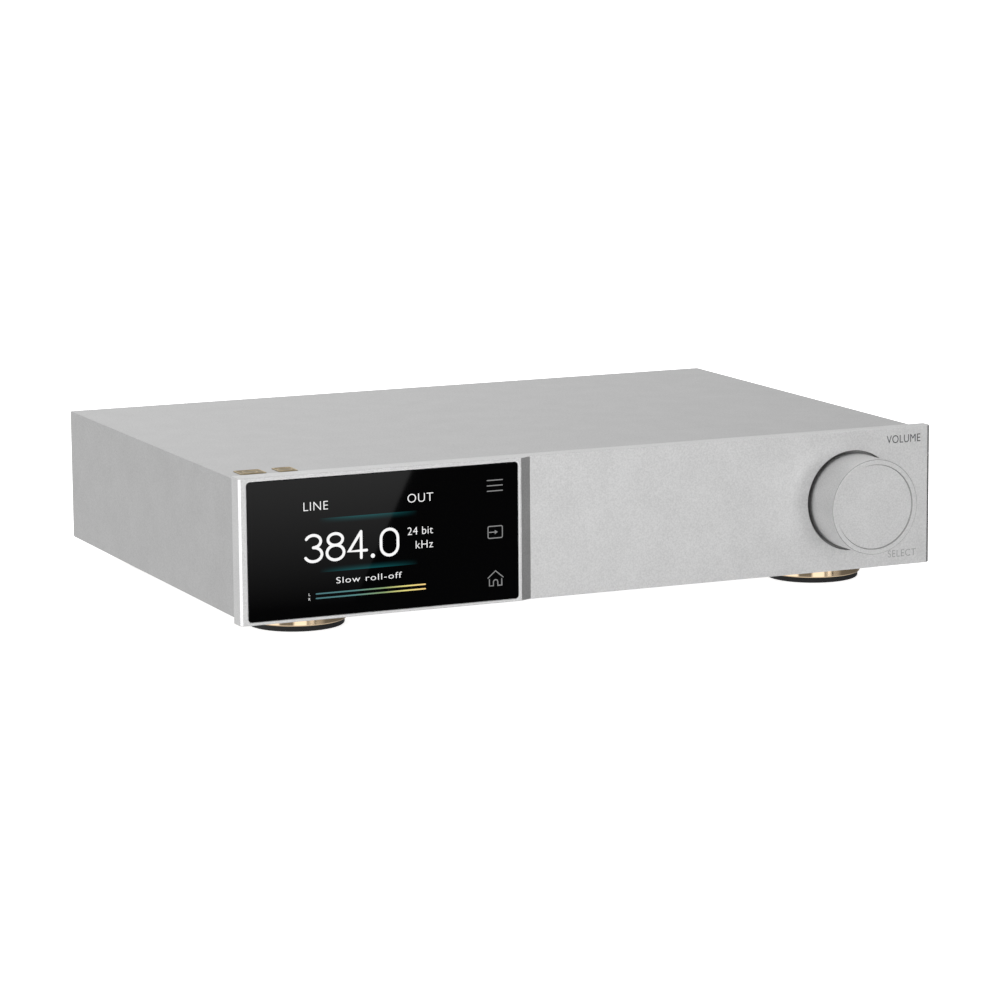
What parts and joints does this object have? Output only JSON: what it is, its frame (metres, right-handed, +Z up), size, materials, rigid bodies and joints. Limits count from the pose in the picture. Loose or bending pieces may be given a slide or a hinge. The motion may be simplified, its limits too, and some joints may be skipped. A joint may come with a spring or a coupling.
{
  "type": "desktop digital to analogue converter",
  "caption": "Flat silver desktop audio converter with a glass display block, a large volume knob, round polished feet and a rear panel of audio and digital sockets.",
  "frame": {"origin": "on the surface the feet stand on, midway across the front panel and midway between the knob's face and the ends of the rear jacks", "axes": "+X to the listener's right, +Y from the front to the rear, +Z up"},
  "size_m": [0.257, 0.204, 0.0554],
  "materials": {
    "satin_aluminium": "fine bead blasted and clear anodised, with bright cut edges",
    "black_glass": "polished, back printed black",
    "display_frame": "matt",
    "champagne_metal": "polished champagne gold anodising",
    "foot_rubber": "matt",
    "black_steel": "black oxide",
    "zinc_steel": "bright zinc plated",
    "nickel_plate": "satin nickel",
    "gold_plate": "gold plated",
    "gold_foil": "thin foil badge",
    "brass": "turned",
    "black_plastic": "fine moulded grain",
    "circuit_board": "solder mask",
    "winding": "taped copper winding on a steel core",
    "cable_jacket": "soft insulation"
  },
  "bodies": {
    "chassis": {"antenna_socket": "gold_plate", "badge_left": "gold_foil", "badge_right": "gold_foil", "balanced_digital_in": "nickel_plate", "balanced_out_left": "nickel_plate", "balanced_out_right": "nickel_plate", "base_plate": "satin_aluminium", "base_screw_1": "black_steel", "base_screw_2": "black_steel", "base_screw_3": "black_steel", "base_screw_4": "black_steel", "coaxial_in": "gold_plate", "computer_port": "zinc_steel", "display_board": "circuit_board", "display_glass": "black_glass", "display_module": "display_frame", "display_ribbon": "cable_jacket", "encoder_board": "circuit_board", "encoder_body": "zinc_steel", "encoder_nut": "nickel_plate", "foot_pad_front_left": "foot_rubber", "foot_pad_front_right": "foot_rubber", "foot_pad_rear_left": "foot_rubber", "foot_pad_rear_right": "foot_rubber", "foot_ring_front_left": "champagne_metal", "foot_ring_front_right": "champagne_metal", "foot_ring_rear_left": "champagne_metal", "foot_ring_rear_right": "champagne_metal", "foot_screw_front_left": "black_steel", "foot_screw_front_right": "black_steel", "foot_screw_rear_left": "black_steel", "foot_screw_rear_right": "black_steel", "front_panel": "satin_aluminium", "link_port": "zinc_steel", "main_board": "circuit_board", "mains_inlet": "black_plastic", "mains_loom": "cable_jacket", "optical_in": "black_plastic", "phono_out_left": "gold_plate", "phono_out_right": "gold_plate", "power_board": "circuit_board", "power_ribbon": "cable_jacket", "rear_panel": "satin_aluminium", "rear_screw_1": "black_steel", "rear_screw_2": "black_steel", "rear_screw_3": "black_steel", "rear_screw_4": "black_steel", "top_cover": "satin_aluminium", "transformer": "winding", "transformer_bolt": "zinc_steel", "transformer_clamp": "zinc_steel", "trigger_jack": "black_plastic"},
    "plunger": {"encoder_plunger": "black_plastic"},
    "knob": {"volume_knob": "satin_aluminium", "knob_hub": "black_plastic", "encoder_shaft": "brass"},
    "rocker": {"power_rocker": "black_plastic"},
    "drawer": {"fuse_drawer": "black_plastic"},
    "flap": {"optical_flap": "black_plastic"},
    "latch": {"balanced_latch": "zinc_steel"}
  },
  "joints": [
    {"name": "knob_press", "type": "slide", "parent": "chassis", "child": "plunger", "axis": [0, 1, 0], "range_m": [0, 0.0005], "stiffness_N_per_m": 3000, "springref_m": -0.0005},
    {"name": "knob_turn", "type": "hinge", "parent": "plunger", "child": "knob", "pos_m": [0.0979, -0.086, 0.03105], "axis": [0, 1, 0], "continuous": true},
    {"name": "power_rocker", "type": "hinge", "parent": "chassis", "child": "rocker", "pos_m": [-0.1066, 0.0913, 0.031], "axis": [-1, 0, 0], "range_deg": [0, 16]},
    {"name": "fuse_drawer", "type": "slide", "parent": "chassis", "child": "drawer", "axis": [0, 1, 0], "range_m": [0, 0.015]},
    {"name": "optical_flap", "type": "hinge", "parent": "chassis", "child": "flap", "pos_m": [0.034, 0.0915, 0.0252], "axis": [-1, 0, 0], "range_deg": [0, 80], "stiffness_Nm_per_rad": 0.0002, "springref_deg": -20.05},
    {"name": "balanced_latch", "type": "slide", "parent": "chassis", "child": "latch", "axis": [0, -1, 0], "range_m": [0, 0.0012], "stiffness_N_per_m": 1500, "springref_m": -0.0006}
  ]
}
